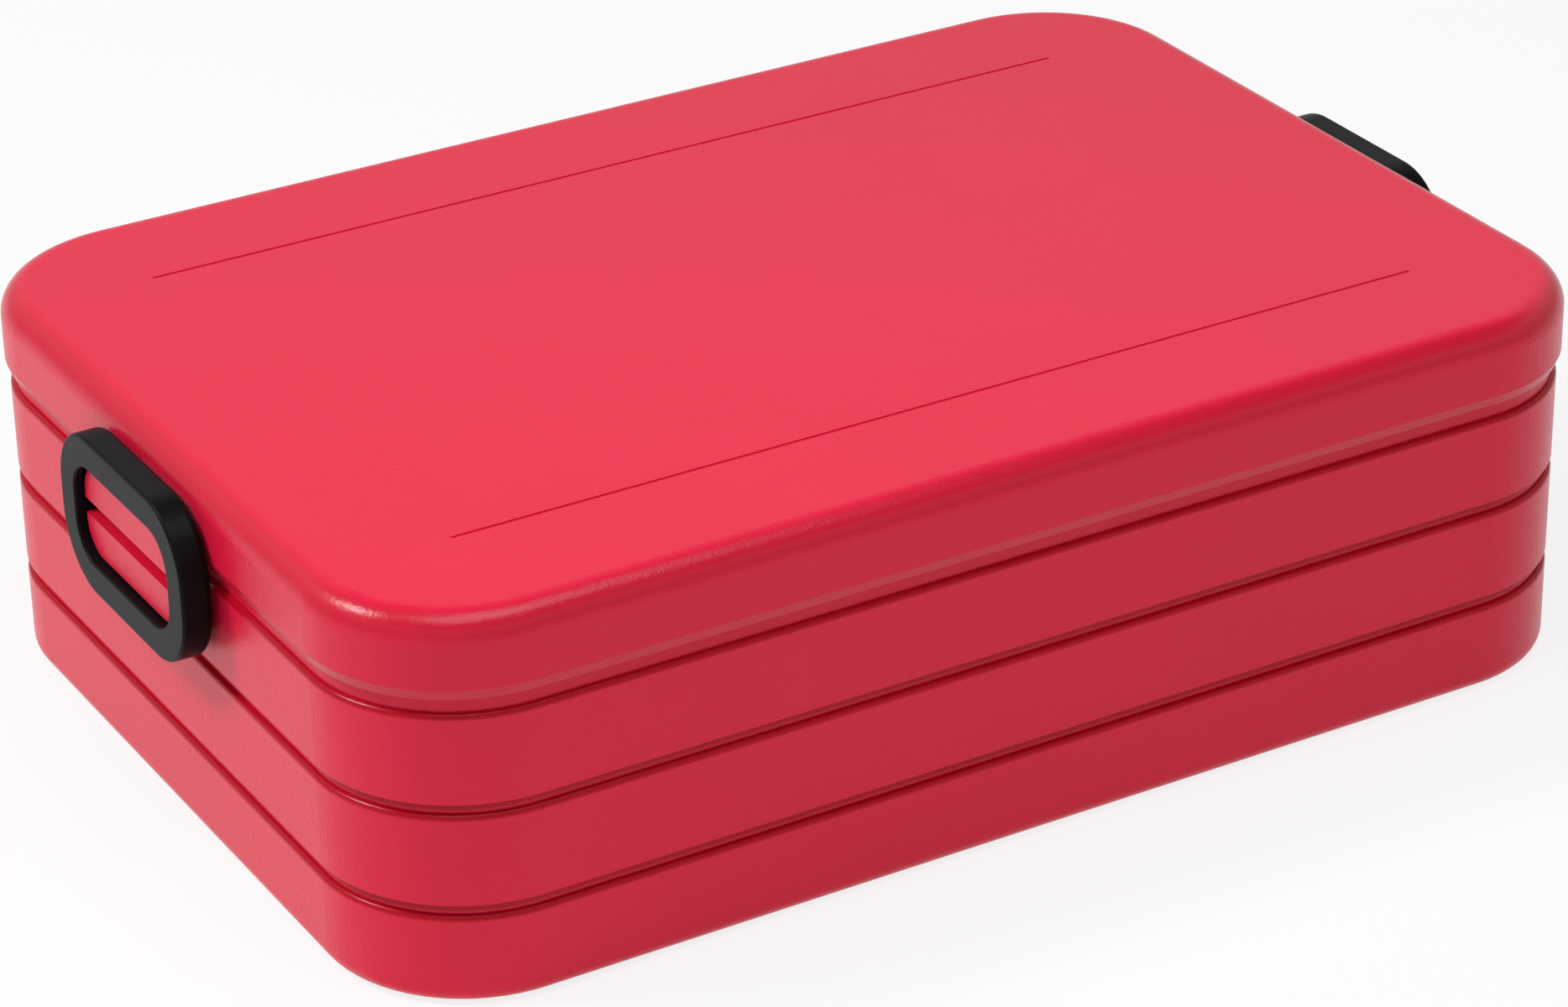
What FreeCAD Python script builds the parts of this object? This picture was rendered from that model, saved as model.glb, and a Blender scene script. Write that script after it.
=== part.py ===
"""Moulded lunch box: a banded tub, a lift-off lid, two swing latches and a lift-out tray.

Millimetres. X runs along the box, -Y is its long front and Z is up from the surface it stands on.
"""
import FreeCAD
import Part
import os

Vector = FreeCAD.Vector
X_AXIS = Vector(1, 0, 0)
Y_AXIS = Vector(0, 1, 0)
Z_AXIS = Vector(0, 0, 1)
ORIGIN = Vector(0, 0, 0)

# Lid, outside
lid_length = 255.0
lid_width = 180.0
lid_corner = 29.0
lid_height = 15.3
lid_top_wall = 2.4
lid_edge_round = 5.2
skirt_edge_height = 2.0
skirt_edge_inset = 0.8
lid_line_length = 197.6
lid_line_spacing = 121.6
lid_line_width = 0.8
lid_line_depth = 0.2

# Base: three bands stand proud of a plain inner wall
lid_overhang = 0.7
lower_band = 17.6
middle_band = 17.6
upper_band = 17.3
groove_height = 2.0
band_proud = 1.0
band_lip_round = 0.9
band_foot_round = 0.3
inner_wall = 2.2
floor_wall = 6.0
bottom_round = 3.0
cavity_round = 5.0
foot_ring = 6.0
foot_depth = 4.2
rim_round = 0.5

# Seam between lid and base, with the seal in the lid's channel
seam_gap = 2.9
rim_clearance = 0.3
seal_height = 3.0
seal_land = 1.4
seal_rib_wall = 1.6
seal_rib_overlap = 1.5
seal_side_gap = 0.1
seal_rest_gap = 0.05
seal_round = 0.6
lid_inner_round = 1.0

# Latch ring, seen from the end of the box
latch_width = 52.0
latch_height = 31.3
latch_corner = 13.0
latch_bar = 6.2
latch_depth = 6.0
latch_drop = 1.15
latch_lid_gap = 0.6
latch_skin = 1.4
latch_front_round = 0.6
latch_back_round = 1.5
window_front_round = 0.5

# Tabs inside the ring, and the bead that snaps over the lid's tab
tab_front_recess = 1.8
tab_clearance = 0.5
tab_seam = 3.0
tab_edge_round = 0.3
bead_radius = 0.8
bead_length = 20.0

# Latch hinge: a tongue on the base, a pocket in the ring's lower bar and a pin
hinge_proud = 3.7
hinge_rise = 2.9
pin_radius = 0.9
pin_length = 36.0
pin_sunk = 0.8
pin_hold_clearance = 0.01
pin_run_clearance = 0.05
tongue_radius = 1.8
tongue_width = 22.0
tongue_clearance = 0.25

# Lift-out tray and its loose divider
tray_clearance = 1.2
tray_height = 54.3
tray_wall = 1.6
tray_floor = 2.6
tray_round = 6.5
tray_rim_proud = 0.7
tray_rim_height = 2.5
tray_split = -38.0
tray_split_drop = 4.0
divider_place = 40.0
divider_wall = 1.6
divider_clearance = 0.3
divider_drop = 3.0
divider_notch = 9.0
guide_wall = 1.4
guide_proud = 2.5

# Depth that a moulded-on feature runs into the wall that carries it, and reach of a cut past a face
root = 0.7
past = 1.0

# Width of the band within which an edge counts as lying at a height or depth
near = 1e-3

# Heights of the stack, from the table up
groove_two_low = lower_band
groove_two_high = groove_two_low + groove_height
groove_one_low = groove_two_high + middle_band
groove_one_high = groove_one_low + groove_height
band_top = groove_one_high + upper_band
skirt_bottom = band_top + seam_gap
lid_top = skirt_bottom + lid_height
channel_roof = lid_top - lid_top_wall - seal_land
rim_top = channel_roof - seal_height - seal_rest_gap
rib_bottom = rim_top - seal_rib_overlap

# Depths of the walls, measured inwards from the lid's outer face
band_inset = lid_overhang
neck_inset = band_inset + band_proud
cavity_inset = neck_inset + inner_wall
skirt_inset = neck_inset - rim_clearance
rib_outer_inset = cavity_inset + rim_clearance
rib_inner_inset = rib_outer_inset + seal_rib_wall
tray_inset = cavity_inset + tray_clearance

# Height of the tray's inner floor, which carries the divider
tray_inside_low = floor_wall + tray_floor

# Places of the latch at the right-hand end
end_face = lid_length / 2 - band_inset
latch_back = lid_length / 2 + latch_lid_gap
latch_front = latch_back + latch_depth
latch_centre = band_top - latch_drop
latch_bottom = latch_centre - latch_height / 2
window_width = latch_width - 2 * latch_bar
window_height = latch_height - 2 * latch_bar
window_top = latch_centre + window_height / 2
tab_front = latch_front - tab_front_recess
hinge_x = end_face + hinge_proud
hinge_z = latch_bottom + hinge_rise
pocket_radius = tongue_radius + tongue_clearance


def block(low, high):
    """Upright box between two opposite corners."""
    size = high - low
    return Part.makeBox(size.x, size.y, size.z, low)


def rounded_face(width, height, corner):
    """Rounded rectangle in the XY plane, centred on the origin."""
    half_width = width / 2
    half_height = height / 2
    slant = corner * (1 - 0.5 ** 0.5)
    edges = []
    for turn in range(4):
        along, across = (half_width, half_height) if turn % 2 == 0 else (half_height, half_width)
        side = Part.LineSegment(Vector(along, corner - across, 0), Vector(along, across - corner, 0))
        bend = Part.Arc(
            Vector(along, across - corner, 0),
            Vector(along - slant, across - slant, 0),
            Vector(along - corner, across, 0),
        )
        for curve in (side, bend):
            edge = curve.toShape()
            edge.rotate(ORIGIN, Z_AXIS, 90 * turn)
            edges.append(edge)
    return Part.Face(Part.Wire(edges))


def plan(inset, height):
    """The box's plan at one height, its walls set in from the lid's outer face."""
    face = rounded_face(lid_length - 2 * inset, lid_width - 2 * inset, lid_corner - inset)
    face.translate(Vector(0, 0, height))
    return face


def slab(inset, low, high):
    """Prism of the box's plan between two heights."""
    return plan(inset, low).extrude(Vector(0, 0, high - low))


def upright(inset, back, front):
    """Prism of the latch's outline, set in from its outer edge, between two depths along X."""
    face = rounded_face(latch_width - 2 * inset, latch_height - 2 * inset, latch_corner - inset)
    face.rotate(ORIGIN, Z_AXIS, 90)
    face.rotate(ORIGIN, Y_AXIS, 90)
    face.translate(Vector(back, 0, latch_centre))
    return face.extrude(Vector(front - back, 0, 0))


def edges_at_height(shape, height):
    """Edges that lie flat at one height."""
    low = height - near
    high = height + near
    return [e for e in shape.Edges if e.BoundBox.ZMin > low and e.BoundBox.ZMax < high]


def edges_at_depth(shape, depth):
    """Edges that lie upright at one place along X."""
    low = depth - near
    high = depth + near
    return [e for e in shape.Edges if e.BoundBox.XMin > low and e.BoundBox.XMax < high]


def in_window(edge):
    """Whether an edge of the ring belongs to its window."""
    across = abs(edge.CenterOfMass.y) < window_width / 2 + near
    return across and abs(edge.CenterOfMass.z - latch_centre) < window_height / 2 + near


def opposite(shape):
    """The same piece at the left-hand end."""
    turned = shape.copy()
    turned.rotate(ORIGIN, Z_AXIS, 180)
    return turned


def both_ends(shape):
    """A piece at the right-hand end and its twin at the left."""
    return [shape, opposite(shape)]


def rod_along_y(radius, place, low_y, high_y):
    """Cylinder along Y."""
    start = Vector(place.x, low_y, place.z)
    return Part.makeCylinder(radius, high_y - low_y, start, Y_AXIS)


def tab(back, low, high):
    """Part of the raised tab that fills the ring's window, between two heights."""
    body = upright(latch_bar + tab_clearance, back, tab_front)
    body = body.makeFillet(tab_edge_round, edges_at_depth(body, tab_front))
    half = window_width / 2
    return body.common(block(Vector(back, -half, low), Vector(tab_front, half, high)))


def band(low, high, low_round):
    """One band of the base with softly rounded lips."""
    body = slab(band_inset, low, high)
    body = body.makeFillet(low_round, edges_at_height(body, low))
    return body.makeFillet(band_lip_round, edges_at_height(body, high))


def hinge_tongue():
    """Tongue on the end of the base that the latch's pin runs in."""
    half = tongue_width / 2
    hinge = Vector(hinge_x, 0, hinge_z)
    web = block(
        Vector(end_face - root, -half, hinge_z - tongue_radius),
        Vector(hinge_x, half, hinge_z + tongue_radius),
    )
    bore = rod_along_y(pin_radius + pin_run_clearance, hinge, -half - past, half + past)
    return web.fuse(rod_along_y(tongue_radius, hinge, -half, half)).cut(bore)


def base_shell():
    """Tub: bands on a plain wall, a neck for the lid, tabs and hinge tongues at both ends."""
    body = slab(neck_inset, lower_band / 2, rim_top)
    body = body.makeFillet(rim_round, edges_at_height(body, rim_top))
    body = body.fuse([
        band(0, groove_two_low, bottom_round),
        band(groove_two_high, groove_one_low, band_foot_round),
        band(groove_one_high, band_top, band_foot_round),
    ])
    cavity = slab(cavity_inset, floor_wall, rim_top + past)
    cavity = cavity.makeFillet(cavity_round, edges_at_height(cavity, floor_wall))
    underside = slab(band_inset + bottom_round + foot_ring, -past, foot_depth)
    body = body.cut([cavity, underside])
    base_tab = tab(end_face - root, latch_bottom, band_top - tab_seam)
    return body.fuse(both_ends(base_tab) + both_ends(hinge_tongue())).removeSplitter()


def lid_line(y):
    """Fine engraved line along the lid's top."""
    half = lid_line_length / 2
    floor = lid_top - lid_line_depth
    line = block(
        Vector(-half, y - lid_line_width / 2, floor),
        Vector(half, y + lid_line_width / 2, lid_top + past),
    )
    ends = [
        Part.makeCylinder(lid_line_width / 2, lid_line_depth + past, Vector(x, y, floor), Z_AXIS)
        for x in (-half, half)
    ]
    return line.fuse(ends)


def lid_shell():
    """Lid: flat top, rounded edge, bevelled skirt, and a channel for the seal behind an inner rib."""
    bevel_top = skirt_bottom + skirt_edge_height
    body = slab(0, bevel_top, lid_top)
    body = body.makeFillet(lid_edge_round, edges_at_height(body, lid_top))
    bevel_ends = [plan(skirt_edge_inset, skirt_bottom).OuterWire, plan(0, bevel_top).OuterWire]
    body = body.fuse(Part.makeLoft(bevel_ends, True, True))
    body = body.cut(slab(skirt_inset, skirt_bottom - past, channel_roof))
    body = body.fuse(slab(rib_outer_inset, rib_bottom, lid_top - lid_top_wall))
    hollow = slab(rib_inner_inset, rib_bottom - past, lid_top - lid_top_wall)
    hollow = hollow.makeFillet(lid_inner_round, edges_at_height(hollow, lid_top - lid_top_wall))
    lines = [lid_line(side * lid_line_spacing / 2) for side in (-1, 1)]
    body = body.cut([hollow] + lines)
    lid_tab = tab(lid_length / 2 - skirt_edge_inset, band_top, window_top)
    return body.fuse(both_ends(lid_tab)).removeSplitter()


def lid_seal():
    """Soft ring that fills the lid's channel and meets the rim."""
    low = rim_top + seal_rest_gap
    outer = slab(skirt_inset + seal_side_gap, low, channel_roof)
    outer = outer.makeFillet(seal_round, edges_at_height(outer, low))
    return outer.cut(slab(rib_outer_inset - seal_side_gap, low - past, channel_roof + past))


def latch_hollow():
    """Space behind the upper bar's skin that the lid's tab can rise into."""
    shape = upright(latch_skin, latch_back - past, latch_front - latch_skin)
    half = window_width / 2
    reach = block(
        Vector(latch_back - past, -half, latch_centre),
        Vector(latch_front, half, latch_centre + latch_height),
    )
    return shape.common(reach)


def tongue_pocket():
    """Pocket in the lower bar that lets the tongue swing from the back round to the underside."""
    half = tongue_width / 2 + tongue_clearance
    back = latch_back - past
    low = latch_bottom - past
    hinge = Vector(hinge_x, 0, hinge_z)
    to_top = block(Vector(back, -half, low), Vector(hinge_x, half, hinge_z + pocket_radius))
    to_front = block(Vector(back, -half, low), Vector(hinge_x + pocket_radius, half, hinge_z))
    return to_top.fuse([to_front, rod_along_y(pocket_radius, hinge, -half, half)])


def latch_pin_place():
    """Ends of the hinge pin along Y: it goes in from the -Y side of the right-hand latch."""
    drop = latch_centre - latch_height / 2 + latch_corner - hinge_z
    side = latch_width / 2 - latch_corner + (latch_corner ** 2 - drop ** 2) ** 0.5
    start = pin_sunk - side
    return start, start + pin_length


def latch():
    """Latch ring at the right-hand end, cored behind its upper bar and pocketed at its hinge."""
    window = upright(latch_bar, latch_back - past, latch_front + past)
    ring = upright(0, latch_back, latch_front).cut(window)
    for depth, outer_round, window_round in (
        (latch_front, latch_front_round, window_front_round),
        (latch_back, latch_back_round, latch_back_round),
    ):
        outer_edges = [e for e in edges_at_depth(ring, depth) if not in_window(e)]
        ring = ring.makeFillet(outer_round, outer_edges)
        window_edges = [e for e in edges_at_depth(ring, depth) if in_window(e)]
        ring = ring.makeFillet(window_round, window_edges)
    pin_start, pin_end = latch_pin_place()
    hinge = Vector(hinge_x, 0, hinge_z)
    pin_hole = rod_along_y(pin_radius + pin_hold_clearance, hinge, -latch_width / 2, pin_end)
    ring = ring.cut([latch_hollow(), tongue_pocket(), pin_hole])
    bead_place = Vector(latch_front - latch_skin, 0, window_top + bead_radius)
    bead = rod_along_y(bead_radius, bead_place, -bead_length / 2, bead_length / 2)
    return ring.fuse(bead).removeSplitter()


def hinge_pin():
    """Plain pin held in the latch and running in the base's tongue."""
    start, end = latch_pin_place()
    return rod_along_y(pin_radius, Vector(hinge_x, 0, hinge_z), start, end)


def bento_tray():
    """Lift-out tray with a fixed cross wall and guides for the divider."""
    top = floor_wall + tray_height
    block_of_tray = slab(tray_inset, floor_wall, top)
    block_of_tray = block_of_tray.makeFillet(tray_round, edges_at_height(block_of_tray, floor_wall))
    body = block_of_tray.fuse(slab(tray_inset - tray_rim_proud, top - tray_rim_height, top))
    inside = slab(tray_inset + tray_wall, tray_inside_low, top + past)
    inside = inside.makeFillet(tray_round - tray_wall, edges_at_height(inside, tray_inside_low))
    half = lid_width / 2 - tray_inset - tray_wall / 2
    walls = [block(
        Vector(tray_split - tray_wall / 2, -half, tray_inside_low - tray_floor / 2),
        Vector(tray_split + tray_wall / 2, half, top - tray_split_drop),
    )]
    slot = divider_wall / 2 + divider_clearance
    for side in (-1, 1):
        for turn in (-1, 1):
            inner = half - tray_wall / 2 - guide_proud
            front, back = sorted((side * inner, side * half))
            left, right = sorted((turn * slot, turn * (slot + guide_wall)))
            walls.append(block(
                Vector(divider_place + left, front, tray_inside_low - tray_floor / 2),
                Vector(divider_place + right, back, top - tray_split_drop),
            ))
    walls = [wall.common(block_of_tray) for wall in walls]
    return body.cut(inside).fuse(walls).removeSplitter()


def tray_divider():
    """Loose plate between the tray's guides, with a finger notch in its top edge."""
    low = tray_inside_low
    high = floor_wall + tray_height - divider_drop
    half = lid_width / 2 - tray_inset - tray_wall - divider_clearance
    plate = block(
        Vector(divider_place - divider_wall / 2, -half, low),
        Vector(divider_place + divider_wall / 2, half, high),
    )
    through = [e for e in plate.Edges if e.BoundBox.XLength > divider_wall / 2]
    plate = plate.makeFillet(tray_round, [e for e in through if e.CenterOfMass.z < low + near])
    notch = Part.makeCylinder(
        divider_notch, divider_wall + 2 * past,
        Vector(divider_place - divider_wall / 2 - past, 0, high), X_AXIS,
    )
    return plate.cut(notch)


def main():
    right_latch = latch()
    right_pin = hinge_pin()
    pieces = {
        "base_shell": base_shell(),
        "lid_shell": lid_shell(),
        "lid_seal": lid_seal(),
        "left_latch": opposite(right_latch),
        "right_latch": right_latch,
        "left_hinge_pin": opposite(right_pin),
        "right_hinge_pin": right_pin,
        "bento_tray": bento_tray(),
        "tray_divider": tray_divider(),
    }
    os.makedirs("parts", exist_ok=True)
    for name, shape in pieces.items():
        shape.exportStep("parts/" + name + ".step")
        print(name, shape.isValid(), len(shape.Solids), round(shape.Volume, 1))


main()
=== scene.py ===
"""Looks of the lunch box: materials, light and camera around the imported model."""
import math

import bpy
from mathutils import Matrix, Vector

# Camera, from the photograph's view of the box, in metres and degrees
CAMERA_PLACE = Vector((-0.4249, -0.7377, 0.4697))
CAMERA_AIM = Vector((-0.0009, -0.0019, 0.0280))
CAMERA_ROLL = -0.99
CAMERA_LENS = 116.3
SENSOR_WIDTH = 36.0

# Heights on the shells, in metres from the table
LOWER_LIP = 0.0176
MIDDLE_LIP = 0.0372
UPPER_LIP = 0.0565
LIP_ROUND = 0.0009
GROOVE_HEIGHT = 0.0020
# Depth under each groove's top that is painted dark as the shade under the band above
GROOVE_SHADE = 0.0012
SKIRT_BEND = 0.0614
EDGE_FROM = 0.0716
EDGE_TO = 0.0741
BOX_HEIGHT = 0.0747
TAB_START = 0.1278

# Widths over which the shells' painted shade and smoother polish fade, in metres
LIP_FADE = 0.0002
BEVEL_FADE = 0.0001
EDGE_LOWER_FADE = 0.0015
EDGE_UPPER_FADE = 0.0005

# Noise that all the finishes share. Scales are per metre; a grain is a strength and a depth.
NOISE_DETAIL = 3.0
NOISE_ROUGHNESS = 0.6

# Shell finish, with a deeper red painted as shade on the lips, in the grooves, on the lid's bevel
# and on its edge
SHELL_COLOUR = (0.80, 0.012, 0.056, 1.0)
SHELL_DEEP = (0.75, 0.009, 0.047, 1.0)
# Deep red painted as shade and as a dim reflection on lips, groove lines, the lid's bevel and edge
PAINTED_SHADE_RED = (0.48, 0.002, 0.014, 1.0)
SATIN = 0.28
POLISHED = 0.23
SHEEN = 0.24
LIP_SHEEN = 0.18
EDGE_SHEEN = 0.42
# Face colour kept on groove walls, the lid's bevel and its edge; the rest is painted shade, and
# these also set polish and sheen
GROOVE_WALL_SHADE_SHARE = 0.9
BEVEL_SHADE_SHARE = 0.6
EDGE_SHADE_SHARE = 0.5
SHELL_TONE_SCALE = 30.0
SHELL_GRAIN_SCALE = 1500.0
SHELL_GRAIN = (0.8, 0.00015)

# Latch finish
LATCH_COLOUR = (0.004, 0.004, 0.0045, 1.0)
LATCH_ROUGHNESS = (0.36, 0.44)
LATCH_PATCH_SCALE = 120.0
LATCH_SHEEN = 0.09
LATCH_GRAIN_SCALE = 2600.0
LATCH_GRAIN = (0.25, 0.00006)

# Tray, seal and pin finish
PALE_PATCH_SCALE = 90.0
PALE_GRAIN = (0.2, 0.00005)
TRAY_COLOUR = (0.78, 0.78, 0.75, 1.0)
TRAY_ROUGHNESS = (0.3, 0.4)
TRAY_GRAIN_SCALE = 1800.0
SEAL_COLOUR = (0.70, 0.70, 0.68, 1.0)
SEAL_ROUGHNESS = (0.5, 0.6)
SEAL_GRAIN_SCALE = 1500.0
PIN_COLOUR = (0.55, 0.55, 0.56, 1.0)
PIN_ROUGHNESS = (0.2, 0.38)
PIN_PATCH_SCALE = 900.0

# Studio
SKY_LEVEL = 0.37
SKY_RINGS = [(0.34, 0.55), (0.52, 1.0), (0.72, 0.10)]
KEY_PLACE = Vector((-1.10, 0.60, 1.4))
KEY_AIM = Vector((0.0, 0.0, 0.04))
KEY_SIZE = (0.4, 0.4)
KEY_WATTS = 16.0
FRONT_PLACE = Vector((-0.08, -0.15, 0.50))
FRONT_AIM = Vector((-0.08, -0.10, 0.07))
FRONT_SIZE = (0.4, 0.2)
FRONT_WATTS = 0.95
FLOOR_REACH = 6.0
FLOOR_COLOUR = (0.95, 0.95, 0.95, 1.0)
FLOOR_ROUGHNESS = 0.9
FLOOR_WHITE = 0.82

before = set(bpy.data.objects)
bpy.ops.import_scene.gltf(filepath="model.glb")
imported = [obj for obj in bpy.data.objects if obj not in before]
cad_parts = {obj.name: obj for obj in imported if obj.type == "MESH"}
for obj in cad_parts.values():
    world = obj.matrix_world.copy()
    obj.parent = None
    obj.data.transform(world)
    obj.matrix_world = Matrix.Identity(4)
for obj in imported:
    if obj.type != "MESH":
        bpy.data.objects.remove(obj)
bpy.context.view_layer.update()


def new_material(name):
    """Material with its node tree and principled shader."""
    material = bpy.data.materials.new(name)
    material.use_nodes = True
    return material, material.node_tree, material.node_tree.nodes["Principled BSDF"]


def add_node(tree, kind, **values):
    """Node of one kind with some of its input sockets set by name."""
    node = tree.nodes.new(kind)
    for socket, value in values.items():
        node.inputs[socket.replace("_", " ")].default_value = value
    return node


def ramp(tree, source, stops):
    """Colour ramp of grey levels over a source between 0 and 1."""
    node = add_node(tree, "ShaderNodeValToRGB")
    band = node.color_ramp.elements
    while len(band) > 1:
        band.remove(band[-1])
    for index, (place, level) in enumerate(stops):
        stop = band[0] if index == 0 else band.new(place)
        stop.position = place
        stop.color = (level, level, level, 1.0)
    tree.links.new(source, node.inputs["Fac"])
    return node.outputs["Color"]


def math_node(tree, operation, first, second=None):
    """Result of a sum on one or two values, each a number or a socket."""
    node = add_node(tree, "ShaderNodeMath")
    node.operation = operation
    for socket, value in zip(node.inputs, (first, second)):
        if isinstance(value, float):
            socket.default_value = value
        elif value is not None:
            tree.links.new(value, socket)
    return node.outputs["Value"]


def spread(tree, source, low, high):
    """A value between 0 and 1 spread from low to high."""
    node = add_node(tree, "ShaderNodeMapRange", To_Min=low, To_Max=high)
    tree.links.new(source, node.inputs["Value"])
    return node.outputs["Result"]


def blend(tree, share, first, second):
    """Colour that goes from the first to the second, each a colour or a socket."""
    node = add_node(tree, "ShaderNodeMix")
    node.data_type = "RGBA"
    sockets = {socket.name: socket for socket in node.inputs if socket.type == "RGBA"}
    tree.links.new(share, node.inputs["Factor"])
    for name, value in (("A", first), ("B", second)):
        if isinstance(value, tuple):
            sockets[name].default_value = value
        else:
            tree.links.new(value, sockets[name])
    return next(output for output in node.outputs if output.type == "RGBA")


def noise(tree, place, scale):
    """Even noise between 0 and 1 over a place in metres."""
    node = add_node(
        tree, "ShaderNodeTexNoise", Scale=scale, Detail=NOISE_DETAIL, Roughness=NOISE_ROUGHNESS,
    )
    tree.links.new(place, node.inputs["Vector"])
    return node.outputs["Fac"]


def bump(tree, shader, height, strength, distance):
    """Fine surface grain on a shader."""
    node = add_node(tree, "ShaderNodeBump", Strength=strength, Distance=distance)
    tree.links.new(height, node.inputs["Height"])
    tree.links.new(node.outputs["Normal"], shader.inputs["Normal"])


def shell_red(name, polish_and_shade_marks, marked_sheen, tab_start=None):
    """Satin red plastic, grained on faces, smoother and painted deep red as shade at set heights.

    Each entry is a height in metres and a share: 1 on an open face and 0 on a smooth lip in
    full painted shade, with the given sheen. Beyond tab_start along X all is an open face.
    """
    material, tree, shader = new_material(name)
    place = add_node(tree, "ShaderNodeTexCoord").outputs["Object"]
    split = add_node(tree, "ShaderNodeSeparateXYZ")
    tree.links.new(place, split.inputs["Vector"])
    share = add_node(tree, "ShaderNodeMapRange", From_Min=0.0, From_Max=BOX_HEIGHT)
    tree.links.new(split.outputs["Z"], share.inputs["Value"])
    stops = [(height / BOX_HEIGHT, level) for height, level in polish_and_shade_marks]
    unpolished_unshaded_share = ramp(tree, share.outputs["Result"], stops)
    if tab_start is not None:
        reach = math_node(tree, "ABSOLUTE", split.outputs["X"])
        on_tab = math_node(tree, "GREATER_THAN", reach, tab_start)
        unpolished_unshaded_share = math_node(tree, "MAXIMUM", unpolished_unshaded_share, on_tab)
    tone = blend(tree, noise(tree, place, SHELL_TONE_SCALE), SHELL_DEEP, SHELL_COLOUR)
    # Colour goes towards the deep red where the share falls: painted shade on lips, groove lines,
    # bevel and edge
    tree.links.new(blend(tree, unpolished_unshaded_share, PAINTED_SHADE_RED, tone), shader.inputs["Base Color"])
    tree.links.new(spread(tree, unpolished_unshaded_share, POLISHED, SATIN), shader.inputs["Roughness"])
    tree.links.new(spread(tree, unpolished_unshaded_share, marked_sheen, SHEEN), shader.inputs["Specular IOR Level"])
    grain = math_node(tree, "MULTIPLY", noise(tree, place, SHELL_GRAIN_SCALE), unpolished_unshaded_share)
    bump(tree, shader, grain, *SHELL_GRAIN)
    return material


def base_polish_and_shade_marks():
    """Heights of painted shade and smoother polish on the two grooves, the lip under the seam and
    the neck above it.
    """
    polish_and_shade_marks = [(0.0, 1.0)]
    for lip, top in (
        (LOWER_LIP, LOWER_LIP + GROOVE_HEIGHT),
        (MIDDLE_LIP, MIDDLE_LIP + GROOVE_HEIGHT),
        (UPPER_LIP, BOX_HEIGHT),
    ):
        # Lip in full painted shade, wall in a little painted shade, then a dark band of painted
        # shade at the top
        polish_and_shade_marks += [
            (lip - LIP_ROUND - LIP_FADE, 1.0),
            (lip - LIP_ROUND + LIP_FADE, 0.0),
            (lip, 0.0),
            (lip + LIP_FADE, GROOVE_WALL_SHADE_SHARE),
            (top - GROOVE_SHADE - LIP_FADE, GROOVE_WALL_SHADE_SHARE),
            (top - GROOVE_SHADE, 0.0),
            (top, 0.0),
        ]
        if top < BOX_HEIGHT:
            polish_and_shade_marks.append((top + LIP_FADE, 1.0))
    return polish_and_shade_marks


def lid_polish_and_shade_marks():
    """Heights of painted shade and smoother polish on the bevel where the lid's skirt turns in and
    on the rounded upper edge.
    """
    return [
        (SKIRT_BEND - BEVEL_FADE, BEVEL_SHADE_SHARE), (SKIRT_BEND + BEVEL_FADE, 1.0),
        (EDGE_FROM - EDGE_LOWER_FADE, 1.0), (EDGE_FROM, EDGE_SHADE_SHARE),
        (EDGE_TO, EDGE_SHADE_SHARE), (EDGE_TO + EDGE_UPPER_FADE, 1.0),
    ]


def uneven_finish(name, colour, roughness, patch_scale):
    """Material of one colour whose roughness drifts between two values, with its tree and place."""
    material, tree, shader = new_material(name)
    place = add_node(tree, "ShaderNodeTexCoord").outputs["Object"]
    shader.inputs["Base Color"].default_value = colour
    rough = spread(tree, noise(tree, place, patch_scale), *roughness)
    tree.links.new(rough, shader.inputs["Roughness"])
    return material, tree, shader, place


def latch_charcoal():
    """Matte charcoal plastic."""
    material, tree, shader, place = uneven_finish(
        "latch_charcoal", LATCH_COLOUR, LATCH_ROUGHNESS, LATCH_PATCH_SCALE,
    )
    shader.inputs["Specular IOR Level"].default_value = LATCH_SHEEN
    bump(tree, shader, noise(tree, place, LATCH_GRAIN_SCALE), *LATCH_GRAIN)
    return material


def moulding(name, colour, roughness, grain_scale):
    """Pale moulded plastic or rubber."""
    material, tree, shader, place = uneven_finish(name, colour, roughness, PALE_PATCH_SCALE)
    bump(tree, shader, noise(tree, place, grain_scale), *PALE_GRAIN)
    return material


def pin_steel():
    """Plain drawn steel."""
    material, _, shader, _ = uneven_finish("pin_steel", PIN_COLOUR, PIN_ROUGHNESS, PIN_PATCH_SCALE)
    shader.inputs["Metallic"].default_value = 1.0
    return material


def dress():
    """Materials on all the pieces."""
    base_red = shell_red("shell_red", base_polish_and_shade_marks(), LIP_SHEEN)
    lid_red = shell_red("lid_red", lid_polish_and_shade_marks(), EDGE_SHEEN, TAB_START)
    charcoal = latch_charcoal()
    white = moulding("tray_white", TRAY_COLOUR, TRAY_ROUGHNESS, TRAY_GRAIN_SCALE)
    seal = moulding("seal_clear", SEAL_COLOUR, SEAL_ROUGHNESS, SEAL_GRAIN_SCALE)
    steel = pin_steel()
    finishes = {
        "base_shell": base_red, "lid_shell": lid_red, "lid_seal": seal,
        "left_latch": charcoal, "right_latch": charcoal,
        "left_hinge_pin": steel, "right_hinge_pin": steel,
        "bento_tray": white, "tray_divider": white,
    }
    for name, material in finishes.items():
        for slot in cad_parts[name].material_slots:
            slot.material = material


def camera():
    """Camera at the photograph's place."""
    data = bpy.data.cameras.new("photo_camera")
    data.sensor_fit = "HORIZONTAL"
    data.sensor_width = SENSOR_WIDTH
    data.lens = CAMERA_LENS
    body = bpy.data.objects.new("photo_camera", data)
    turn = (CAMERA_AIM - CAMERA_PLACE).to_track_quat("-Z", "Y").to_matrix().to_4x4()
    roll = Matrix.Rotation(math.radians(CAMERA_ROLL), 4, "Z")
    body.matrix_world = Matrix.Translation(CAMERA_PLACE) @ turn @ roll
    bpy.context.collection.objects.link(body)
    bpy.context.scene.camera = body


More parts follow.
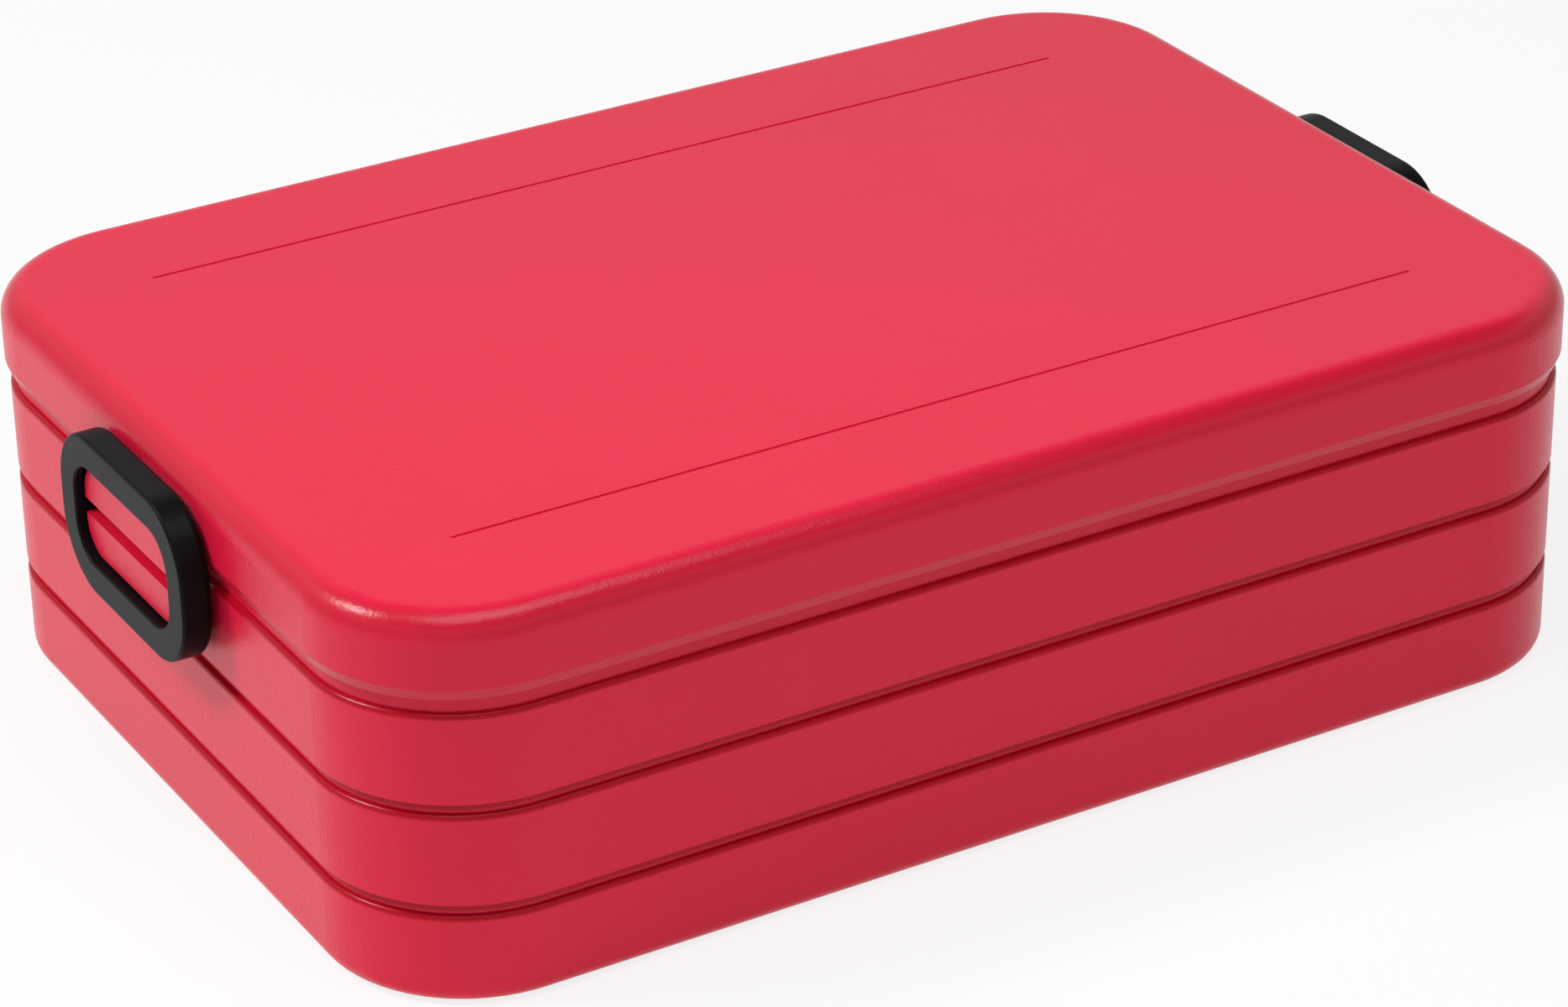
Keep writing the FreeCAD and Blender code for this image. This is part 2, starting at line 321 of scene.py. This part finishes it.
def lamp(name, place, aim, size, watts):
    """Soft rectangular lamp."""
    data = bpy.data.lights.new(name, "AREA")
    data.shape = "RECTANGLE"
    data.size, data.size_y = size
    data.energy = watts
    body = bpy.data.objects.new(name, data)
    body.location = place
    body.rotation_euler = (aim - place).to_track_quat("-Z", "Y").to_euler()
    bpy.context.collection.objects.link(body)


def seen_rays(tree, rays):
    """1 for rays from the camera, a reflection or clear plastic, and 0 for light that falls."""
    glossy = rays.outputs["Is Glossy Ray"]
    reflected = math_node(tree, "MAXIMUM", glossy, rays.outputs["Is Transmission Ray"])
    return math_node(tree, "MAXIMUM", rays.outputs["Is Camera Ray"], reflected)


def sky():
    """Even soft light, which the camera sees white.

    Reflections see a white ring between a greyer horizon and a dim ceiling.
    """
    world = bpy.data.worlds.new("studio")
    bpy.context.scene.world = world
    world.use_nodes = True
    tree = world.node_tree
    soft = tree.nodes["Background"]
    soft.inputs["Color"].default_value = (1.0, 1.0, 1.0, 1.0)
    soft.inputs["Strength"].default_value = SKY_LEVEL
    seen = add_node(tree, "ShaderNodeBackground", Color=(1.0, 1.0, 1.0, 1.0))
    rays = add_node(tree, "ShaderNodeLightPath")
    split = add_node(tree, "ShaderNodeSeparateXYZ")
    direction = add_node(tree, "ShaderNodeTexCoord").outputs["Generated"]
    tree.links.new(direction, split.inputs["Vector"])
    rings = ramp(tree, split.outputs["Z"], SKY_RINGS)
    level = math_node(tree, "MAXIMUM", rays.outputs["Is Camera Ray"], rings)
    tree.links.new(level, seen.inputs["Strength"])
    mix = add_node(tree, "ShaderNodeMixShader")
    tree.links.new(seen_rays(tree, rays), mix.inputs["Fac"])
    tree.links.new(soft.outputs["Background"], mix.inputs[1])
    tree.links.new(seen.outputs["Background"], mix.inputs[2])
    tree.links.new(mix.outputs["Shader"], tree.nodes["World Output"].inputs["Surface"])


def floor():
    """Floor that the camera and reflections see almost white, and that keeps the box's shadow."""
    mesh = bpy.data.meshes.new("floor")
    reach = FLOOR_REACH
    corners = [(-reach, -reach, 0), (reach, -reach, 0), (reach, reach, 0), (-reach, reach, 0)]
    mesh.from_pydata(corners, [], [(0, 1, 2, 3)])
    body = bpy.data.objects.new("floor", mesh)
    bpy.context.collection.objects.link(body)
    material, tree, shader = new_material("floor_white")
    shader.inputs["Base Color"].default_value = FLOOR_COLOUR
    shader.inputs["Roughness"].default_value = FLOOR_ROUGHNESS
    shader.inputs["Specular IOR Level"].default_value = 0.0
    white = add_node(tree, "ShaderNodeEmission", Color=(1.0, 1.0, 1.0, 1.0), Strength=1.0)
    seen = seen_rays(tree, add_node(tree, "ShaderNodeLightPath"))
    mix = add_node(tree, "ShaderNodeMixShader")
    tree.links.new(math_node(tree, "MULTIPLY", seen, FLOOR_WHITE), mix.inputs["Fac"])
    tree.links.new(shader.outputs["BSDF"], mix.inputs[1])
    tree.links.new(white.outputs["Emission"], mix.inputs[2])
    tree.links.new(mix.outputs["Shader"], tree.nodes["Material Output"].inputs["Surface"])
    mesh.materials.append(material)


bpy.context.scene.view_settings.view_transform = "Standard"
dress()
camera()
sky()
lamp("key", KEY_PLACE, KEY_AIM, KEY_SIZE, KEY_WATTS)
lamp("front_soft", FRONT_PLACE, FRONT_AIM, FRONT_SIZE, FRONT_WATTS)
floor()
